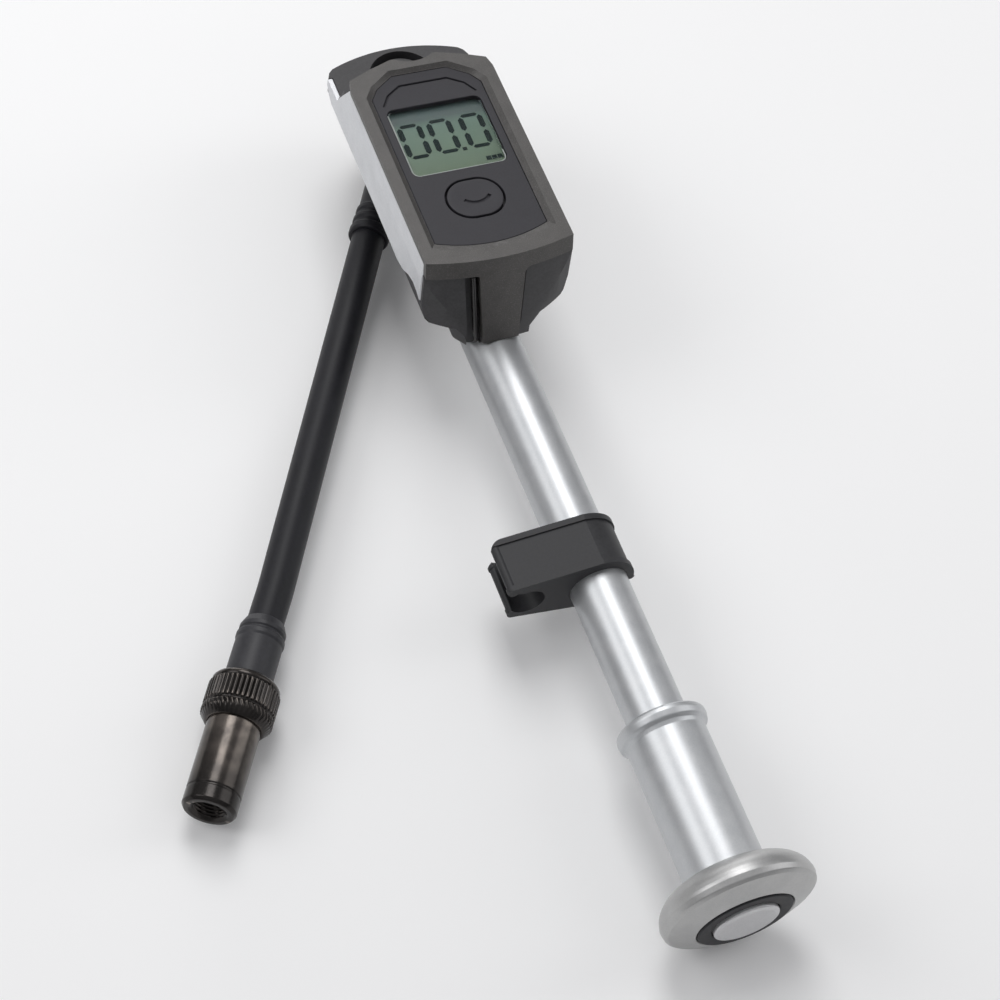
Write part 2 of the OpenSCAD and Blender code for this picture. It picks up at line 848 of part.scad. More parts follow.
module hose_clip() {
  near_r = 1.6;
  far_r = 3.4;
  reach = 24;
  color([0.2, 0.2, 0.21]) intersection() {
    union() {
      along_y(clip_y0, clip_y0 + clip_rim) clip_section(0);
      along_y(clip_y0 + clip_rim, clip_y1 - clip_rim) clip_section(0.45);
      along_y(clip_y1 - clip_rim, clip_y1) clip_section(0);
    }
    // rounded corners of the jaws, in plan
    along_z(0, 40) {
      translate([far_r - reach, clip_y0]) square([40, clip_y1 - clip_y0]);
      translate([near_r - reach, clip_y0]) square([far_r, 8]);
      translate([-reach, clip_y0 + near_r]) square([40, clip_y1 - clip_y0 - near_r - far_r]);
      translate([near_r - reach, clip_y0 + near_r]) circle(r = near_r);
      translate([far_r - reach, clip_y1 - far_r]) circle(r = far_r);
    }
  }
}

// ---------------------------------------------------------------- drawing

rear_shell();
bezel();
end_rib();
left_trim();
right_trim();
face_panel();
lcd_window();
lcd_panel();
circuit_board();
battery();
battery_clip();
button_switch();
pressure_sensor();
case_screws();
pump_head();
check_ball();
check_spring();
barrel_o_ring();
barrel_tube();
barrel_gland();
rod_seal();
swivel_bolt();
power_button();
bleed_button();
bleed_spring();
handle_sleeve();
handle_cap();
handle_ring();
handle_plug();
rod_screw();
piston_rod();
piston();
piston_o_ring();
swivel_ring();
swivel_o_rings();
hose_boot();
hose();
hose_ferrule();
chuck_stem();
chuck_pin();
knurled_collar();
chuck_barrel();
chuck_seal();
hose_clip();
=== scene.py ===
"""Visual model of a digital shock pump lying on its back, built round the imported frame."""

import math

import bmesh
import bpy
from mathutils import Matrix, Vector


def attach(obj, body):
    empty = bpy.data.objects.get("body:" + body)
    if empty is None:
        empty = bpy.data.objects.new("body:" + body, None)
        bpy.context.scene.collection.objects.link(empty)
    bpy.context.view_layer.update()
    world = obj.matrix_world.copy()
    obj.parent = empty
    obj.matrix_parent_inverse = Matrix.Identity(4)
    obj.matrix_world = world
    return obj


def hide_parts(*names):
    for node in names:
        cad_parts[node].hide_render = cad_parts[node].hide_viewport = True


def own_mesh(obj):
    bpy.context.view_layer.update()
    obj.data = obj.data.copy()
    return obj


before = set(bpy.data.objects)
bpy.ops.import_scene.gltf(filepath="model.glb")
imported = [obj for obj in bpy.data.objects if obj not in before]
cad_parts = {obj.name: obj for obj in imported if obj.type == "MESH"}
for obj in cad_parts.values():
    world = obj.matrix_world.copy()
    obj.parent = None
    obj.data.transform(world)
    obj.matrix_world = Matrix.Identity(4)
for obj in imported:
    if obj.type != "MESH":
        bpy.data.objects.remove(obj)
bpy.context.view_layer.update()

MM = 0.001

# Sizes in mm, in the frame's axes. Places along the barrel (s) are distances from the swivel axis.
AXIS_H = 18.4  # height of the barrel's axis
TUBE_R = 7.2  # outside of the barrel
BORE_R = 5.8  # bore of the barrel
TUBE_END = 218  # handle end of the barrel
SLEEVE_START = 187.4  # mouth of the handle's sleeve
SLEEVE_END = 227  # where the sleeve meets the palm disc
DISC_FLOOR = 234.5  # bottom of the recess in the palm disc
HOSE_H = 8.5  # height of the hose's axis
HOSE_R = 4.4  # outside of the hose
HOSE_SWING = 31  # swing of the hose off the barrel, degrees
CHUCK_SWING = 31.5  # swing of the chuck's axis, degrees
CHUCK_START = (-76.5, -132)  # where the chuck's axis begins
SOCKET_R = 3.9  # threaded socket in the chuck
SOCKET_FLOOR = 41.2  # bottom of the socket, along the chuck's axis
DIGIT_Z = (46.98, 47.1)  # lowest and highest point of the display's segments
KEY_Y = -52.2  # centre of the power key
KEY_R = 5.8  # radius of the power key's round ends
KEY_HALF = 1.35  # half the length of its straight sides

# The viewpoint: azimuth, elevation and roll in degrees, the camera's place in metres, and its lens.
VIEW_ANGLES = (-30.671, 55.692, 12.651)
CAMERA_AT = (-0.17432, -0.38970, 0.47817)
LENS = 83.12
SENSOR = 36


# ---------------------------------------------------------------- camera


def make_camera():
    """A long lens over the pump's left, looking down its handle."""
    data = bpy.data.cameras.new("camera")
    data.sensor_width = SENSOR
    data.lens = LENS
    data.clip_start = 0.05
    data.clip_end = 10
    cam = bpy.data.objects.new("camera", data)
    bpy.context.scene.collection.objects.link(cam)
    azimuth, elevation, roll = (math.radians(v) for v in VIEW_ANGLES)
    back = Vector(
        (
            math.sin(azimuth) * math.cos(elevation),
            -math.cos(azimuth) * math.cos(elevation),
            math.sin(elevation),
        )
    )
    right = (-back).cross(Vector((0, 0, 1))).normalized()
    up = right.cross(-back)
    tilted_right = right * math.cos(roll) + up * math.sin(roll)
    tilted_up = up * math.cos(roll) - right * math.sin(roll)
    turn = Matrix((tilted_right, tilted_up, back)).transposed()
    cam.matrix_world = Matrix.Translation(CAMERA_AT) @ turn.to_4x4()
    bpy.context.scene.camera = cam


make_camera()


# ---------------------------------------------------------------- materials


class Nodes:
    """Small helper that adds and links shader nodes."""

    def __init__(self, name):
        self.mat = bpy.data.materials.new(name)
        self.mat.use_nodes = True
        self.tree = self.mat.node_tree
        self.bsdf = self.tree.nodes["Principled BSDF"]
        self.coords = self.tree.nodes.new("ShaderNodeTexCoord").outputs["Object"]

    def add(self, kind, **inputs):
        node = self.tree.nodes.new(kind)
        for key, value in inputs.items():
            node.inputs[key].default_value = value
        return node

    def link(self, a, b):
        self.tree.links.new(a, b)

    def noise(self, scale, detail=4.0):
        """Values round 0.5 that change with a wavelength of 1 / scale metres."""
        node = self.add("ShaderNodeTexNoise", Scale=scale, Detail=detail, Roughness=0.55)
        self.link(self.coords, node.inputs["Vector"])
        return node.outputs["Fac"]

    def ramp(self, fac, stops):
        """Colours at (position, colour) stops."""
        node = self.tree.nodes.new("ShaderNodeValToRGB")
        ramp = node.color_ramp
        while len(ramp.elements) < len(stops):
            ramp.elements.new(0.5)
        for element, (position, colour) in zip(ramp.elements, stops):
            element.position = position
            element.color = (*colour, 1)
        self.link(fac, node.inputs["Fac"])
        return node.outputs["Color"]

    def span(self, fac, low, high, start=0.3, end=0.7):
        """Stretches fac's range from start to end over the range from low to high."""
        node = self.add(
            "ShaderNodeMapRange",
            **{"From Min": start, "From Max": end, "To Min": low, "To Max": high},
        )
        self.link(fac, node.inputs["Value"])
        return node.outputs["Result"]

    def mix(self, fac, a, b):
        """Blends two colours; each of the three may be a value or a socket."""
        node = self.tree.nodes.new("ShaderNodeMix")
        node.data_type = "RGBA"
        for socket, value in ((node.inputs[0], fac), (node.inputs[6], a), (node.inputs[7], b)):
            if isinstance(value, (int, float)):
                socket.default_value = value
            elif isinstance(value, tuple):
                socket.default_value = (*value, 1)
            else:
                self.link(value, socket)
        return node.outputs[2]

    def bump(self, height, strength, distance):
        node = self.add("ShaderNodeBump", Strength=strength, Distance=distance)
        self.link(height, node.inputs["Height"])
        self.link(node.outputs["Normal"], self.bsdf.inputs["Normal"])

    def edges(self, low, high):
        """1 on convex edges, 0 on flats."""
        geometry = self.tree.nodes.new("ShaderNodeNewGeometry")
        return self.span(geometry.outputs["Pointiness"], 0.0, 1.0, low, high)


def finish_material(
    name,
    dark,
    light,
    rough,
    metallic=0.0,
    grain=900,
    bump=0.15,
    bump_scale=2500,
    bump_mm=0.03,
    edge=None,
    edge_amount=0.5,
    spec=0.5,
    sheen=0.0,
    fleck=0.0,
    fleck_scale=3000,
):
    """Colour and roughness drift between two values, with fine bump, flecks and worn edges.

    Scales are in waves per metre. edge is the colour under the finish, shown on convex edges.
    """
    n = Nodes(name)
    drift = n.noise(grain / 12, 3)
    fine = n.noise(grain, 5)
    both = n.mix(0.5, drift, fine)
    colour = n.ramp(both, [(0.36, dark), (0.64, light)])
    if fleck:
        spots = n.noise(fleck_scale, 2)
        mask = n.span(spots, 0.0, fleck, 0.56, 0.72)
        colour = n.mix(mask, colour, tuple(min(1.0, c * 2.6 + 0.05) for c in light))
    if edge:
        worn = n.edges(0.53, 0.62)
        patchy = n.noise(260, 4)
        gate = n.tree.nodes.new("ShaderNodeMath")
        gate.operation = "MULTIPLY"
        n.link(worn, gate.inputs[0])
        n.link(n.span(patchy, 0.2, edge_amount, 0.35, 0.65), gate.inputs[1])
        colour = n.mix(gate.outputs[0], colour, edge)
    n.link(colour, n.bsdf.inputs["Base Color"])
    n.link(n.span(both, rough[0], rough[1]), n.bsdf.inputs["Roughness"])
    n.bsdf.inputs["Metallic"].default_value = metallic
    n.bsdf.inputs["Specular IOR Level"].default_value = spec
    n.bsdf.inputs["Sheen Weight"].default_value = sheen
    n.bump(n.noise(bump_scale, 3), bump, bump_mm * MM)
    return n.mat


ANODISED = finish_material(
    "anodised_silver", (0.52, 0.535, 0.55), (0.59, 0.60, 0.61), (0.40, 0.46), 0.92,
    grain=2600, bump=0.15, bump_scale=5200, bump_mm=0.01,
)
# darker copy of the anodised silver for the palm disc: its darker tone is painted shade
SHADED_SILVER = finish_material(
    "silver_with_painted_shade", (0.43, 0.43, 0.43), (0.50, 0.50, 0.495), (0.38, 0.44), 0.9,
    grain=2600, bump=0.22, bump_scale=4600, bump_mm=0.012,
)
TRIM = finish_material(
    "satin_silver_paint", (0.58, 0.59, 0.61), (0.67, 0.68, 0.70), (0.40, 0.50), 0.55,
    grain=2200, bump=0.2, bump_scale=4800, bump_mm=0.012, fleck=0.25, fleck_scale=5200,
)
BEZEL = finish_material(
    "metallic_grey_paint", (0.066, 0.063, 0.061), (0.088, 0.084, 0.081), (0.40, 0.50), 0.35,
    grain=3200, bump=0.4, bump_scale=4200, bump_mm=0.03, fleck=0.35, fleck_scale=5200,
)
SOFT = finish_material(
    "charcoal_soft_touch", (0.024, 0.023, 0.028), (0.034, 0.033, 0.039), (0.50, 0.62), 0.0,
    grain=2000, bump=0.25, bump_scale=4200, bump_mm=0.012, spec=0.35,
)
SHELL = finish_material(
    "black_moulded_plastic", (0.038, 0.037, 0.039), (0.060, 0.059, 0.062), (0.46, 0.60), 0.0,
    grain=1500, bump=0.35, bump_scale=3000, bump_mm=0.02, spec=0.4,
)
GLOSS = finish_material(
    "dark_gloss_plastic", (0.010, 0.009, 0.009), (0.020, 0.018, 0.018), (0.10, 0.20), 0.0,
    grain=900, bump=0.05, bump_scale=2500, bump_mm=0.006, spec=0.5,
)
RUBBER = finish_material(
    "black_rubber", (0.006, 0.006, 0.008), (0.012, 0.012, 0.016), (0.44, 0.56), 0.0,
    grain=1100, bump=0.3, bump_scale=2600, bump_mm=0.025, spec=0.3, sheen=0.02,
)
FERRULE = finish_material(
    "black_moulded_ferrule", (0.013, 0.013, 0.016), (0.026, 0.026, 0.031), (0.42, 0.54), 0.0,
    grain=1200, bump=0.3, bump_scale=2800, bump_mm=0.02, spec=0.45,
)
CLIP = finish_material(
    "clip_plastic", (0.021, 0.021, 0.023), (0.035, 0.035, 0.038), (0.46, 0.58), 0.0,
    grain=1300, bump=0.3, bump_scale=3200, bump_mm=0.02, spec=0.35,
)
NICKEL = finish_material(
    "black_nickel", (0.027, 0.025, 0.024), (0.042, 0.038, 0.036), (0.19, 0.27), 0.88,
    grain=2400, bump=0.25, bump_scale=3600, bump_mm=0.012,
    edge=(0.36, 0.31, 0.27), edge_amount=0.8,
)
STEEL = finish_material(
    "bright_steel", (0.42, 0.42, 0.43), (0.56, 0.56, 0.57), (0.22, 0.34), 1.0,
    grain=2500, bump=0.15, bump_scale=4200, bump_mm=0.008,
)
PLUG = finish_material(
    "satin_plug", (0.60, 0.60, 0.61), (0.68, 0.68, 0.69), (0.34, 0.44), 0.55,
    grain=1800, bump=0.15, bump_scale=4200, bump_mm=0.01,
)
BRASS = finish_material(
    "bare_brass", (0.42, 0.32, 0.17), (0.52, 0.42, 0.24), (0.28, 0.40), 1.0,
    grain=1800, bump=0.15, bump_scale=4200, bump_mm=0.01,
)
BOARD = finish_material(
    "green_board", (0.012, 0.07, 0.03), (0.02, 0.10, 0.045), (0.35, 0.45), 0.0,
    grain=900, bump=0.1, bump_scale=2500, bump_mm=0.01,
)
# pale colour of the strip by the display window, a painted highlight
PAINTED_HIGHLIGHT = finish_material(
    "painted_highlight_strip", (0.30, 0.33, 0.31), (0.40, 0.43, 0.41), (0.30, 0.42), 0.0,
    grain=1800, bump=0.1, bump_scale=4200, bump_mm=0.006,
)
INK = finish_material(
    "display_segment", (0.006, 0.013, 0.014), (0.012, 0.022, 0.023), (0.50, 0.60), 0.0,
    grain=900, bump=0.05, bump_scale=2500, bump_mm=0.004, spec=0.2,
)


def display_material():
    """Green-grey liquid crystal cell, with painted shade that makes it darker and greyer towards
    its upper edge.
    """
    n = Nodes("display_cell")
    split = n.tree.nodes.new("ShaderNodeSeparateXYZ")
    n.link(n.coords, split.inputs[0])
    shade = n.span(split.outputs["Y"], 0.0, 1.0, -0.0425, -0.0205)
    # painted shade: the ramp darkens the cell towards its upper edge
    cell_with_painted_shade = n.ramp(
        shade,
        [
            (0.0, (0.105, 0.150, 0.095)),
            (0.30, (0.125, 0.180, 0.130)),
            (0.76, (0.125, 0.190, 0.160)),
            (0.88, (0.070, 0.095, 0.103)),
        ],
    )
    colour = n.mix(n.span(n.noise(1800, 4), 0.0, 0.25), cell_with_painted_shade, (0.11, 0.15, 0.11))
    n.link(colour, n.bsdf.inputs["Base Color"])
    n.link(n.span(n.noise(300, 3), 0.30, 0.42), n.bsdf.inputs["Roughness"])
    n.bump(n.noise(5000, 2), 0.05, 0.004 * MM)
    return n.mat


def window_material():
    """Clear cover with a faint smear."""
    n = Nodes("clear_window")
    n.bsdf.inputs["Transmission Weight"].default_value = 1.0
    n.bsdf.inputs["IOR"].default_value = 1.1
    tint = n.ramp(n.noise(120, 3), [(0.3, (0.93, 0.96, 0.94)), (0.7, (0.98, 1.0, 0.98))])
    n.link(tint, n.bsdf.inputs["Base Color"])
    n.link(n.span(n.noise(240, 4), 0.0, 0.02), n.bsdf.inputs["Roughness"])
    n.bump(n.noise(700, 2), 0.01, 0.002 * MM)
    return n.mat


DISPLAY = display_material()
WINDOW = window_material()


# ---------------------------------------------------------------- mesh helpers


def along(origin, swing):
    """Local z runs from origin along -Y, swung towards -X by swing degrees."""
    return (
        Matrix.Translation(origin)
        @ Matrix.Rotation(math.radians(-swing), 4, "Z")
        @ Matrix.Rotation(math.radians(90), 4, "X")
    )


BARREL = along((0, 0, AXIS_H), 0)
BOOT = along((0, 0, HOSE_H), HOSE_SWING)
CHUCK = along((*CHUCK_START, HOSE_H), CHUCK_SWING)
UPRIGHT = Matrix.Identity(4)


def rounded(points, closed=False, steps=5):
    """Outline from points (a, b) or (a, b, radius): a corner with a radius becomes an arc."""
    out = []
    last = len(points) - 1
    for i, p in enumerate(points):
        radius = p[2] if len(p) > 2 else 0
        if not radius or (not closed and i in (0, last)):
            out.append((p[0], p[1]))
            continue
        corner = Vector(p[:2])
        before = Vector(points[i - 1][:2]) - corner
        after = Vector(points[(i + 1) % len(points)][:2]) - corner
        half = before.angle(after) / 2
        cut = min(radius / math.tan(half), 0.49 * before.length, 0.49 * after.length)
        radius = cut * math.tan(half)
        before.normalize()
        after.normalize()
        centre = corner + (before + after).normalized() * (radius / math.sin(half))
        start, end = corner + before * cut - centre, corner + after * cut - centre
        a0 = math.atan2(start.y, start.x)
        sweep = (math.atan2(end.y, end.x) - a0 + math.pi) % (2 * math.pi) - math.pi
        for k in range(steps + 1):
            a = a0 + sweep * k / steps
            out.append((centre.x + radius * math.cos(a), centre.y + radius * math.sin(a)))
    return out


def skin(bm, rings, closed):
    """Faces between rings of vertices; a ring of one vertex is a pole."""
    pairs = list(zip(rings, rings[1:]))
    if closed:
        pairs.append((rings[-1], rings[0]))
    for a, b in pairs:
        count = max(len(a), len(b))
        for k in range(count):
            j = (k + 1) % count
            corners = [a[k % len(a)], a[j % len(a)], b[j % len(b)], b[k % len(b)]]
            face = list(dict.fromkeys(corners))
            if len(face) > 2:
                bm.faces.new(face)


def lathe(profile, matrix, seg=96, closed=True, shape=None):
    """Turned piece: profile is (r, s) round local z. shape(r, s, angle) may change each radius."""
    bm = bmesh.new()
    rings = []
    for r, s in profile:
        if r < 1e-4:
            rings.append([bm.verts.new(matrix @ Vector((0, 0, s)))])
            continue
        ring = []
        for k in range(seg):
            a = 2 * math.pi * k / seg
            q = shape(r, s, a) if shape else r
            ring.append(bm.verts.new(matrix @ Vector((q * math.cos(a), q * math.sin(a), s))))
        rings.append(ring)
    skin(bm, rings, closed)
    return bm


def dome(outline, levels, centre):
    """Closed piece of copies of an outline, shrunk towards its centre: levels are (mm, z)."""
    bm = bmesh.new()
    rings = []
    for shrink, z in levels:
        ring = []
        for x, y in outline:
            d = Vector((x - centre[0], y - centre[1]))
            d *= max(0.0, 1 - shrink / d.length)
            ring.append(bm.verts.new((centre[0] + d.x, centre[1] + d.y, z)))
        rings.append(ring)
    skin(bm, rings, False)
    bm.faces.new(rings[0][::-1])
    bm.faces.new(rings[-1])
    return bm


def from_cad(node):
    """A welded copy of a CAD node's mesh, in mm, with flat areas joined."""
    bm = bmesh.new()
    bm.from_mesh(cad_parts[node].data)
    bm.transform(Matrix.Scale(1 / MM, 4))
    bmesh.ops.remove_doubles(bm, verts=bm.verts, dist=0.004)
    bmesh.ops.dissolve_limit(
        bm, angle_limit=math.radians(0.6), verts=bm.verts, edges=bm.edges, delimit={"SHARP"}
    )
    return bm


def piece(name, bm, material, body, node=None, bevel=0.0, angle=32, sharp=38):
    """Object made from bm (in mm) that rides on body and stands for a CAD node."""
    bmesh.ops.recalc_face_normals(bm, faces=bm.faces)
    bm.transform(Matrix.Scale(MM, 4))
    mesh = bpy.data.meshes.new(name)
    bm.to_mesh(mesh)
    bm.free()
    mesh.materials.append(material)
    ob = bpy.data.objects.new(name, mesh)
    bpy.context.scene.collection.objects.link(ob)
    mesh.shade_smooth()
    mesh.set_sharp_from_angle(angle=math.radians(sharp))
    if bevel:
        mod = ob.modifiers.new("rounded_edges", "BEVEL")
        mod.width = bevel * MM
        mod.segments = 3
        mod.limit_method = "ANGLE"
        mod.angle_limit = math.radians(angle)
        mod.harden_normals = True
        mod.miter_outer = "MITER_ARC"
    weighted = ob.modifiers.new("even_normals", "WEIGHTED_NORMAL")
    weighted.keep_sharp = True
    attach(ob, body)
    if node:
        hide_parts(node)
    return ob


def carve(ob, cutter_bm):
    """Cuts a closed mesh out of a piece for good."""
    cutter_bm.transform(Matrix.Scale(MM, 4))
    bmesh.ops.recalc_face_normals(cutter_bm, faces=cutter_bm.faces)
    mesh = bpy.data.meshes.new("cutter")
    cutter_bm.to_mesh(mesh)
    cutter_bm.free()
    tool = bpy.data.objects.new("cutter", mesh)
    bpy.context.scene.collection.objects.link(tool)
    mod = ob.modifiers.new("carve", "BOOLEAN")
    mod.operation = "DIFFERENCE"
    mod.solver = "EXACT"
    mod.object = tool
    while ob.modifiers[0] != mod:
        ob.modifiers.move(len(ob.modifiers) - 1, 0)
    graph = bpy.context.evaluated_depsgraph_get()
    others = [m for m in ob.modifiers if m != mod]
    for m in others:
        m.show_viewport = False
    graph.update()
    carved = bpy.data.meshes.new_from_object(ob.evaluated_get(graph))
    ob.modifiers.remove(mod)
    for m in others:
        m.show_viewport = True
    ob.data = carved
    bpy.data.objects.remove(tool)
    carved.shade_smooth()
    carved.set_sharp_from_angle(angle=math.radians(38))


def tube(path, radius, seg):
    """Round rod along points."""
    bm = bmesh.new()
    rings = []
    points = [Vector(p) for p in path]
    for i, p in enumerate(points):
        d = (points[min(i + 1, len(points) - 1)] - points[max(i - 1, 0)]).normalized()
        side = d.cross(Vector((0, 0, 1))).normalized()
        up = side.cross(d)
        ring = []
        for k in range(seg):
            t = 2 * math.pi * k / seg
            ring.append(bm.verts.new(p + (side * math.cos(t) + up * math.sin(t)) * radius))
        rings.append(ring)
    skin(bm, rings, False)
    bm.faces.new(rings[0][::-1])
    bm.faces.new(rings[-1])
    return bm


# ---------------------------------------------------------------- hose

# Plan of the hose's middle line, from the swivel end to the chuck.
HOSE_ROUTE = [(-15 - 4 * k, -25 - 7 * k) for k in range(15)] + [(-75, -129.5), (-78, -134.4)]


def smooth_route(points, per=6):
    """Catmull-Rom curve through the route's points."""
    out = []
    for i in range(len(points) - 1):
        near = [min(max(j, 0), len(points) - 1) for j in range(i - 1, i + 3)]
        p = [Vector((*points[j], HOSE_H)) for j in near]
        for k in range(per):
            t = k / per
            out.append(
                0.5
                * (
                    2 * p[1]
                    + (p[2] - p[0]) * t
                    + (2 * p[0] - 5 * p[1] + 4 * p[2] - p[3]) * t * t
                    + (3 * p[1] - p[0] - 3 * p[2] + p[3]) * t**3
                )
            )
    out.append(Vector((*points[-1], HOSE_H)))
    return out


def make_hose():
    """The hose, as a round rod along its route."""
    route = smooth_route(HOSE_ROUTE)
    line = tube(route, HOSE_R, 40)
    ob = piece("hose_tube", line, RUBBER, "hose_arm", "hose")


# ---------------------------------------------------------------- barrel and handle


def make_barrel():
    """Barrel tube and the bush in its mouth."""
    start = 49.1
    outline = [(BORE_R, start), (BORE_R, TUBE_END), (TUBE_R, TUBE_END, 0.3), (TUBE_R, start)]
    wall = lathe(rounded(outline, closed=True), BARREL, 128)
    piece("barrel", wall, ANODISED, "pump_body", "barrel_tube")
    lip = TUBE_END + 2.4
    outline = [
        (3.55, 201.6),
        (3.55, lip, 0.3),
        (TUBE_R, lip, 0.5),
        (TUBE_R, TUBE_END + 0.02),
        (BORE_R - 0.02, TUBE_END + 0.02),
        (BORE_R - 0.02, 201.6),
    ]
    bush = lathe(rounded(outline, closed=True), BARREL)
    piece("gland", bush, GLOSS, "pump_body", "barrel_gland")


def make_handle():
    """Rod, sleeve and palm disc, with the ring and the plug in the disc's face."""
    outline = [(0, 55.1), (3.5, 55.1, 0.3), (3.5, 229.9, 0.3), (1.55, 229.9), (1.55, 219), (0, 219)]
    shaft = lathe(rounded(outline), BARREL, closed=False)
    piece("rod", shaft, STEEL, "handle", "piston_rod")

    start = SLEEVE_START
    outline = [
        (7.5, SLEEVE_END),
        (7.5, start, 0.3),
        (9.3, start, 0.5),
        (10.8, start + 0.4, 1.0),
        (11, start + 1.7, 1.3),
        (10.7, start + 3.2, 0.8),
        (9.9, start + 3.8, 0.6),
        (9.6, start + 4.8, 0.8),
        (9.6, SLEEVE_END - 0.1, 0.25),
        (9.4, SLEEVE_END),
    ]
    grip = lathe(rounded(outline, closed=True, steps=7), BARREL, 128)
    piece("sleeve", grip, ANODISED, "handle", "handle_sleeve")

    neck, spread, rim, rise = 9.7, 8.6, 233.2, 6.2
    shoulder = []
    for degrees in range(0, 86, 5):
        t = math.radians(degrees)
        shoulder.append((neck + spread * math.sin(t), rim - rise * math.cos(t)))
    face = [
        (18.38, 232.9),
        (18.4, 233.6, 0.5),
        (18.1, 234.9, 0.6),
        (17.3, 235.5, 0.4),
        (11.75, 237.65, 0.25),
        (11.5, 237.3),
        (11.5, DISC_FLOOR),
    ]
    hub = [(0, 222.5), (7.45, 222.5), (7.45, SLEEVE_END - 0.02), (9.55, SLEEVE_END - 0.02)]
    screw_hole = [(3.5, DISC_FLOOR), (3.5, 231.8), (0, 231.8)]
    outline = hub + shoulder + rounded(face, steps=4) + screw_hole
    disc = lathe(outline, BARREL, 144, closed=False)
    # the disc's darker silver is painted shade
    piece("palm_disc", disc, SHADED_SILVER, "handle", "handle_cap", sharp=34)

    base = DISC_FLOOR + 0.05
    outline = [(8, base), (11.4, base), (11.4, 237.9, 0.5), (8, 237.9, 0.5)]
    ring = lathe(rounded(outline, closed=True), BARREL)
    piece("disc_ring", ring, RUBBER, "handle", "handle_ring")
    outline = [(0, base), (7.8, base), (7.8, 238.55, 0.45), (6.6, 238.8, 0.6), (0, 238.7)]
    plug = lathe(rounded(outline), BARREL, closed=False)
    piece("disc_plug", plug, PLUG, "handle", "handle_plug")


# ---------------------------------------------------------------- gauge head


def make_head():
    """Case, panel and display of the gauge."""

    def copy(name, node, material, bevel):
        """A CAD node with its edges rounded."""
        piece(name, from_cad(node), material, "pump_body", node, bevel=bevel)

    copy("shell", "rear_shell", SHELL, 0.3)
    copy("frame", "bezel", BEZEL, 0.35)
    copy("rib", "end_rib", GLOSS, 0.1)
    copy("left_plate", "left_trim", TRIM, 0.22)
    copy("right_plate", "right_trim", TRIM, 0.22)
    copy("panel", "face_panel", SOFT, 0.25)
    copy("window", "lcd_window", WINDOW, 0.1)
    # pale strip along the window's left and lower sides: a painted highlight where the moulded edge
    # catches the light
    left, right, low = -12.3, 12.3, -42.15
    path = rounded([(left, -21.2), (left, low, 1.8), (right, low, 1.8), (right, -38.5)], steps=6)
    lip = tube([(x, y, 48.4) for x, y in path], 0.2, 10)
    piece("window_painted_highlight", lip, PAINTED_HIGHLIGHT, "pump_body")
    copy("display", "lcd_panel", DISPLAY, 0.1)
    make_digits()
    make_buttons()


def segment_bar(x0, y0, x1, y1, w):
    """One display segment: a bar with pointed ends."""
    a, b = Vector((x0, y0)), Vector((x1, y1))
    d = (b - a).normalized() * (w / 2)
    n = Vector((-d.y, d.x))
    return [a, a + d + n, b - d + n, b, b - d - n, a + d - n]


def make_digits():
    """Three zeros, a point and a row of small blocks, in segments."""
    bm = bmesh.new()

    def bar(points):
        low, high = ([bm.verts.new((p[0], p[1], z)) for p in points] for z in DIGIT_Z)
        bm.faces.new(low[::-1])
        bm.faces.new(high)
        skin(bm, [low, high], False)

    def block(x0, x1, y0, y1):
        bar([(x0, y0), (x1, y0), (x1, y1), (x0, y1)])

    width, thick, gap = 5.1, 1.45, 0.35
    thin = thick * 0.7
    low, mid, high = -35.6 + thick / 2, -29.7, -23.8 - thick / 2
    for centre in (-8.0, -0.2, 8.3):
        left, right = centre - width / 2, centre + width / 2
        for y in (high, low):
            bar(segment_bar(left + gap, y, right - gap, y, thin))
        for x in (left, right):
            bar(segment_bar(x, low + gap, x, mid - gap, thick))
            bar(segment_bar(x, mid + gap, x, high - gap, thick))
    block(3.1, 4.2, -35.5, -34.5)
    for x0, x1 in ((7.9, 9.2), (9.4, 10.7), (10.9, 12.1)):
        block(x0, x1, -39.9, -38.7)
    piece("display_digits", bm, INK, "pump_body", sharp=80)


def make_buttons():
    """Oval power key with a curved mark, round bleed key and the bleed key's spring."""
    outline = []
    for side, start in ((1, -90), (-1, 90)):
        for degrees in range(start, start + 180, 6):
            a = math.radians(degrees)
            outline.append((side * KEY_HALF + KEY_R * math.cos(a), KEY_Y + KEY_R * math.sin(a)))
    foot = [(-0.95, 46.3), (-0.95, 47.0), (0, 47.02), (0, 48.8)]
    top = [(0.12, 49.02), (0.4, 49.1), (1.6, 49.08), (3.0, 49.02), (4.6, 48.98), (5.6, 48.97)]
    cap = dome(outline, foot + top, (0, KEY_Y))
    key = piece(
        "power_key_cap", cap, SOFT, "power_key", "power_button", sharp=50
    )
    mark_r = 4.6
    mark = []
    for degrees in range(-45, 52, 6):
        a = math.radians(degrees)
        mark.append((0.3 + mark_r * math.sin(a), -49.1 - mark_r * math.cos(a), 48.95))
    carve(key, tube(mark, 0.5, 14))

    outline = [
        (0, 24),
        (1.5, 24, 0.2),
        (1.5, 36.3),
        (4.4, 36.3),
        (4.4, 34.6, 0.2),
        (7.3, 34.6, 0.2),
        (7.3, 37.6, 0.5),
        (5.2, 37.45, 1.0),
        (0, 37.0),
    ]
    cap = lathe(rounded(outline), UPRIGHT, closed=False)
    piece("bleed_key_cap", cap, SHELL, "bleed_key", "bleed_button")
    coil = from_cad("bleed_spring")
    spring = piece("return_spring", coil, STEEL, "pump_body", "bleed_spring")
    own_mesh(spring)


# ---------------------------------------------------------------- hose arm


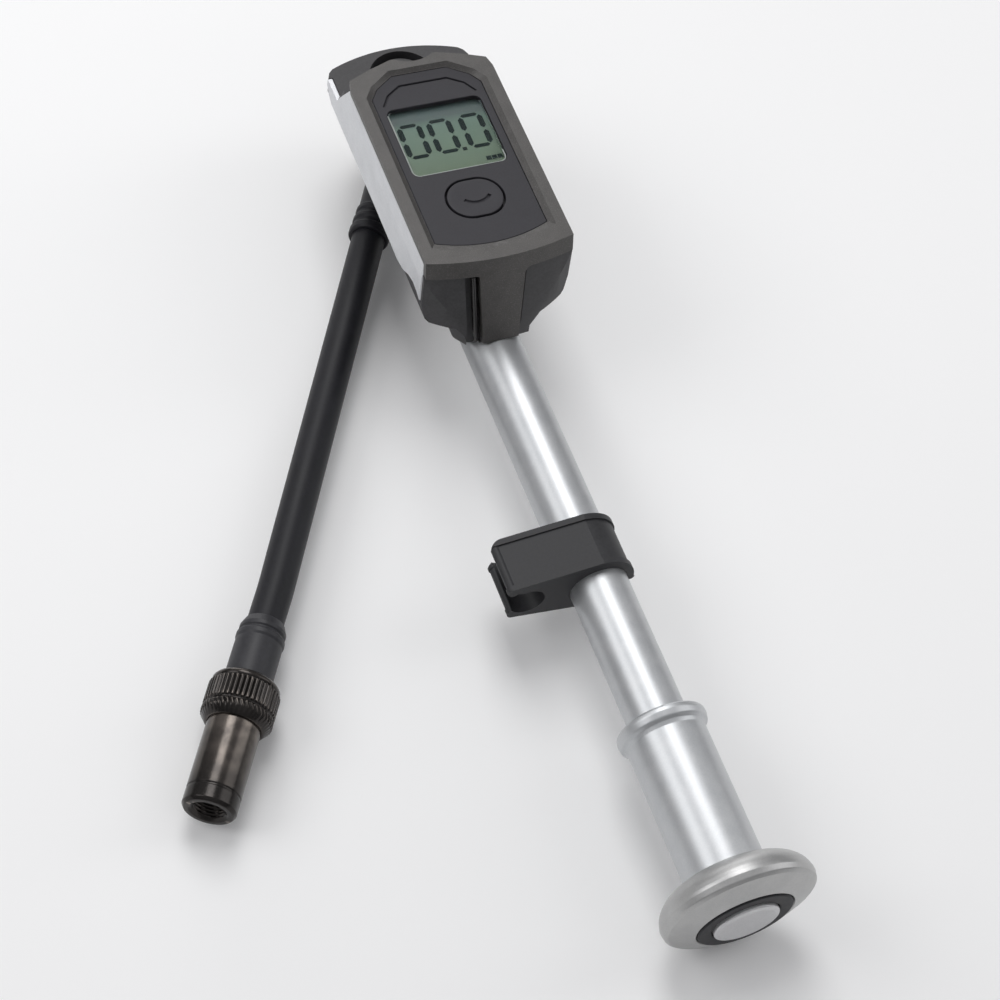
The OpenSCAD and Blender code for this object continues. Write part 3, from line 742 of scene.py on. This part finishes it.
def make_hose_arm():
    """Swivel ring, ribbed boot, ferrule and the small pieces inside the chuck."""
    outline = [(4.05, 3, 0.3), (7.6, 3, 0.6), (7.6, 14, 0.6), (4.05, 14, 0.3)]
    ring = lathe(rounded(outline, closed=True), UPRIGHT)
    piece("swivel", ring, NICKEL, "hose_arm", "swivel_ring")

    outline = [
        (1.2, 7.0),
        (5.0, 7.0),
        (4.9, 13, 2),
        (4.7, 21.6, 1),
        (4.75, 22.3, 0.3),
        (5.15, 22.8, 0.4),
        (5.15, 24.0, 0.4),
        (4.75, 24.5, 0.3),
        (4.75, 25.5, 0.3),
        (5.3, 26.1, 0.4),
        (5.3, 27.2, 0.4),
        (4.85, 27.8, 0.3),
        (4.85, 28.8, 0.3),
        (5.45, 29.5, 0.5),
        (5.45, 31.1, 0.4),
        (5.2, 31.7, 0.3),
        (HOSE_R, 31.7),
        (HOSE_R, 29.2),
        (1.2, 29.2),
    ]
    sleeve = lathe(rounded(outline, closed=True, steps=4), BOOT, 72)
    boot = piece("boot", sleeve, RUBBER, "hose_arm", "hose_boot")
    room = 7.72  # radius cleared for the swivel ring
    carve(boot, lathe([(0, -2), (room, -2), (room, 40), (0, 40)], UPRIGHT, 96, closed=False))

    outline = [
        (HOSE_R, 0.05),
        (4.75, 0.05, 0.2),
        (5.35, 1.5, 0.4),
        (5.6, 2.1, 0.3),
        (5.6, 3.0, 0.3),
        (5.3, 3.35, 0.2),
        (5.3, 3.7, 0.2),
        (5.85, 4.2, 0.4),
        (5.85, 5.3, 0.4),
        (5.6, 5.9, 0.3),
        (5.65, 7, 1),
        (5.7, 16.4, 0.3),
        (1.2, 16.4),
        (1.2, 2.83),
        (HOSE_R, 2.83),
    ]
    sleeve = lathe(rounded(outline, closed=True, steps=4), CHUCK, 72)
    piece("ferrule", sleeve, FERRULE, "hose_arm", "hose_ferrule")
    for name, node, material, body, slot in (
        ("chuck_core", "chuck_stem", BRASS, "hose_arm", "stem_brass"),
        ("core_pin", "chuck_pin", BRASS, "valve_pin", "stem_brass"),
        ("chuck_washer", "chuck_seal", RUBBER, "chuck", "rubber_black"),
    ):
        piece(name, from_cad(node), material, body, node, bevel=0.1)
    make_collar()
    make_chuck()


def wave(x):
    """Triangle wave from 0 to 1 with period 1."""
    x %= 1.0
    return 2 * x if x < 0.5 else 2 - 2 * x


def make_collar():
    """Two bands of knurling, straight and slanted, between plain lips."""
    teeth, depth = 44, 0.42
    start, end = 16.5, 28.4
    outer, foot = 8.5, 8.3  # tips of the teeth, and the radius under which nothing is cut
    groove = start + 8.1  # where the straight band gives way to the slanted one
    slant_from, slant = 24.8, 0.45  # the slanted band turns by this many teeth per mm

    def knurl(r, s, a):
        if r < foot:
            return r
        turn = teeth * a / (2 * math.pi)
        if s > groove:
            turn += (s - slant_from) * slant
        return r - depth * (1 - min(1.0, wave(turn) * 1.5))

    back_lip = [
        (5.6, start),
        (6.8, start),
        (7.6, start + 0.35),
        (8.05, start + 0.95),
        (8.05, start + 1.9),
        (7.95, start + 2.0),
        (8.1, start + 2.1),
        (8.46, start + 2.35),
    ]
    straight = [(outer, start + 2.5 + 5.1 * k / 8) for k in range(9)]
    between = [(8.1, start + 7.8), (7.95, start + 8.0), (7.95, start + 8.3), (8.1, start + 8.45)]
    slanted = [(8.48, start + 8.65)] + [(outer, start + s) for s in (8.9, 9.3, 9.7)]
    front_lip = [(8.46, start + 9.95), (8.1, start + 10.35), (7.0, end - 0.1), (6.8, end)]
    inside = [(6.4, end), (6.4, 18.3), (5.6, 18.3)]
    profile = back_lip + straight + between + slanted + front_lip + inside
    turned = lathe(profile, CHUCK, teeth * 6, shape=knurl)
    piece("knurled_ring", turned, NICKEL, "collar", "knurled_collar", sharp=50)


def make_chuck():
    """Turned barrel with a thread cut in its socket."""
    pitch, depth = 0.794, 0.42
    mouth = 49.6  # outer end of the thread

    def thread(r, s, a):
        if r > SOCKET_R + 0.1 or s < SOCKET_FLOOR + 0.1:
            return r
        fade = min(1.0, (50.1 - s) / 0.9) if s > 49.2 else 1.0
        return r - depth * fade * wave(s / pitch - a / (2 * math.pi))

    outline = [
        (6.35, 18.6, 0.3),
        (6.35, 45.5, 0.1),
        (6.15, 45.75, 0.1),
        (6.15, 46.1, 0.1),
        (6.35, 46.35, 0.1),
        (6.35, 49.4, 0.35),
        (5.75, 50.2, 0.35),
        (4.6, 50.2, 0.3),
        (3.95, 49.7),
    ]
    count = 72
    step = (mouth - SOCKET_FLOOR - 0.05) / count
    wall = [(SOCKET_R, mouth - step * k) for k in range(count + 1)]
    bore = [(4.9, SOCKET_FLOOR), (4.9, 38.9), (4.55, 38.9)]
    profile = [(4.55, 18.6)] + rounded(outline, steps=3) + wall + bore
    turned = lathe(profile, CHUCK, 96, shape=thread)
    piece("chuck_body", turned, NICKEL, "chuck", "chuck_barrel", sharp=34)


# ---------------------------------------------------------------- clip


def make_clip():
    """Moulded clip with rounded rims."""
    body = from_cad("hose_clip")
    piece("clip_body", body, CLIP, "clip", "hose_clip", bevel=0.3, angle=28)


# ---------------------------------------------------------------- hidden and small parts

# The CAD's own shape is right for these, so each gets only its material.
PLAIN = {
    "circuit_board": BOARD,
    "battery": STEEL,
    "battery_clip": BRASS,
    "button_switch": GLOSS,
    "pressure_sensor": STEEL,
    "case_screws": STEEL,
    "pump_head": STEEL,
    "check_ball": STEEL,
    "check_spring": STEEL,
    "barrel_o_ring": RUBBER,
    "rod_seal": RUBBER,
    "swivel_bolt": NICKEL,
    "rod_screw": STEEL,
    "piston": GLOSS,
    "piston_o_ring": RUBBER,
    "swivel_o_rings": RUBBER,
}


def finish_plain():
    """Gives each CAD node that is kept as it is its material."""
    for node, material in PLAIN.items():
        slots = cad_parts[node].data.materials
        slots.clear()
        slots.append(material)


# ---------------------------------------------------------------- studio

# Soft panels of light: place and size in metres, and power in watts.
LIGHTS = {
    "key_left": ((-0.80, 0.15, 0.72), (0.7, 0.5), 2.7),
    "top": ((0.02, 0.42, 0.98), (0.46, 0.75), 4.8),
    "fill_right": ((0.85, -0.2, 0.55), (0.35, 0.8), 1.4),
    "back_low": ((0.15, 1.1, 0.24), (0.9, 0.3), 2.4),
}
LIT_POINT = Vector((-0.02, -0.1, 0.02))
FLOOR_GREY = (0.92, 0.94)
SKY_LOW = (0.05, (0.16, 0.16, 0.165))
SKY_HIGH = (0.75, (0.46, 0.46, 0.47))


def make_floor():
    """Matt, nearly white ground."""
    bm = bmesh.new()
    bmesh.ops.create_grid(bm, x_segments=8, y_segments=8, size=3)
    mesh = bpy.data.meshes.new("studio_floor")
    bm.to_mesh(mesh)
    bm.free()
    floor = bpy.data.objects.new("studio_floor", mesh)
    bpy.context.scene.collection.objects.link(floor)
    n = Nodes("pale_floor")
    low, high = FLOOR_GREY
    tone = n.ramp(n.noise(3, 2), [(0.3, (low, low, low)), (0.7, (high, high, high))])
    n.link(tone, n.bsdf.inputs["Base Color"])
    n.bsdf.inputs["Roughness"].default_value = 0.9
    mesh.materials.append(n.mat)


def make_sky():
    """Dim surroundings that brighten upwards, for the metal to reflect."""
    world = bpy.data.worlds.new("studio")
    bpy.context.scene.world = world
    world.use_nodes = True
    tree = world.node_tree
    split = tree.nodes.new("ShaderNodeSeparateXYZ")
    tree.links.new(tree.nodes.new("ShaderNodeTexCoord").outputs["Generated"], split.inputs[0])
    ramp = tree.nodes.new("ShaderNodeValToRGB")
    for element, (position, colour) in zip(ramp.color_ramp.elements, (SKY_LOW, SKY_HIGH)):
        element.position = position
        element.color = (*colour, 1)
    tree.links.new(split.outputs["Z"], ramp.inputs[0])
    tree.links.new(ramp.outputs[0], tree.nodes["Background"].inputs["Color"])
    tree.nodes["Background"].inputs["Strength"].default_value = 1.0


def make_lights():
    """Area lights, each turned to the pump."""
    for name, (place, size, power) in LIGHTS.items():
        data = bpy.data.lights.new(name, "AREA")
        data.shape = "RECTANGLE"
        data.size, data.size_y = size
        data.energy = power
        ob = bpy.data.objects.new(name, data)
        ob.location = place
        ob.rotation_mode = "QUATERNION"
        ob.rotation_quaternion = (LIT_POINT - Vector(place)).to_track_quat("-Z", "Y")
        bpy.context.scene.collection.objects.link(ob)


make_hose_arm()
make_hose()
make_barrel()
make_handle()
make_head()
make_clip()
finish_plain()
make_floor()
make_sky()
make_lights()
bpy.context.scene.view_settings.view_transform = "Standard"
